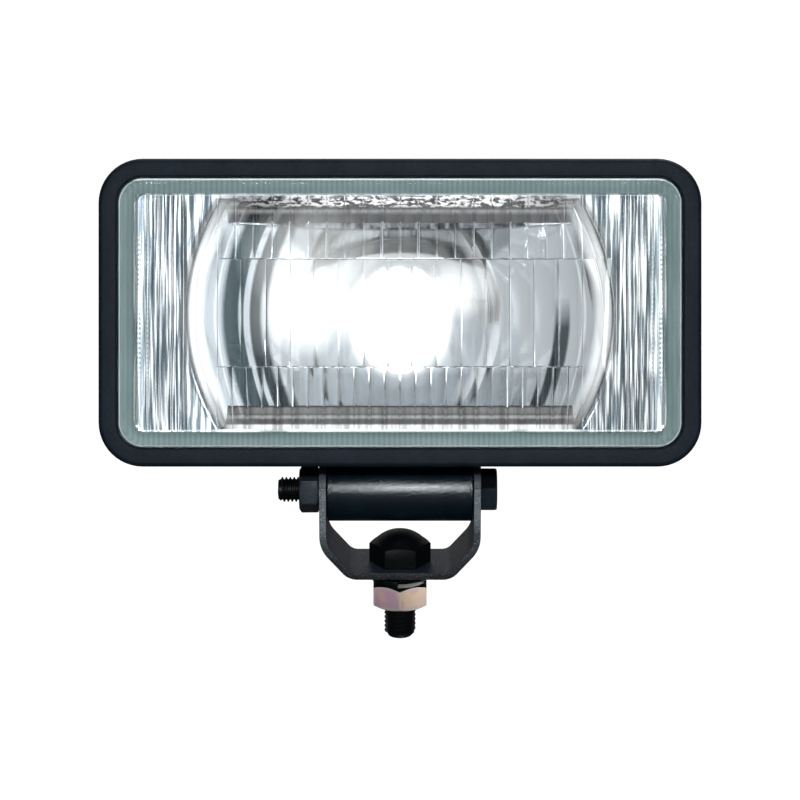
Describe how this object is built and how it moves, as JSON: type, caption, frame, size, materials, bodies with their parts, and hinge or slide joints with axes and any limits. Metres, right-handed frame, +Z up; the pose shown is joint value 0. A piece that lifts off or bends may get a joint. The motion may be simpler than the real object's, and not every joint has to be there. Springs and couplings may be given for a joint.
{
  "type": "fog light",
  "caption": "Rectangular fog lamp with a fluted glass front and bowl reflector, tilting in a bent strap yoke that swivels on a threaded mounting stud.",
  "frame": {"origin": "on the mounting stud's axis, on the underside of the mounting nut, where the free thread starts", "axes": "+Z up along the stud towards the lamp, the lamp faces -Y, +X to the right as seen from the front"},
  "size_m": [0.184, 0.0952, 0.1566],
  "materials": {
    "bezel_plastic": "matte moulded",
    "lens_glass": "pressed, fluted",
    "seal_rubber": "matte",
    "sealant": "pale grey-green bead",
    "reflector_bright": "aluminised",
    "housing_plastic": "fine grain",
    "black_steel": "blackened",
    "bulb_glass": "clear",
    "filament_metal": "glowing",
    "bulb_metal": "satin",
    "insulator_plastic": "moulded",
    "lead_plastic": "extruded sleeve",
    "terminal_brass": "plain",
    "spring_steel": "zinc plated",
    "coated_metal": "black powder coat",
    "zinc_yellow": "yellow zinc with pink cast"
  },
  "bodies": {
    "mount": {"mount_bolt": "black_steel", "spring_washer": "black_steel", "mount_nut": "zinc_yellow"},
    "bracket": {"yoke": "coated_metal", "pivot_bolt": "black_steel", "pivot_nut": "black_steel"},
    "lamp": {"bezel": "bezel_plastic", "lens": "lens_glass", "lens_seal": "sealant", "unit_gasket": "seal_rubber", "reflector": "reflector_bright", "housing": "housing_plastic", "bezel_screws": "black_steel", "cable_grommet": "seal_rubber", "bulb_capsule": "bulb_glass", "bulb_filament": "filament_metal", "bulb_base": "bulb_metal", "bulb_insulator": "insulator_plastic", "bulb_lead": "lead_plastic", "lead_terminal": "terminal_brass", "bulb_clip": "spring_steel", "clip_screw": "spring_steel", "pivot_foot": "coated_metal", "foot_screws": "spring_steel"}
  },
  "joints": [
    {"name": "swivel", "type": "hinge", "parent": "mount", "child": "bracket", "pos_m": [0, 0, 0.0143], "axis": [0, 0, 1], "continuous": true},
    {"name": "tilt", "type": "hinge", "parent": "bracket", "child": "lamp", "pos_m": [0, 0, 0.0383], "axis": [1, 0, 0], "range_deg": [-45, 65]}
  ]
}
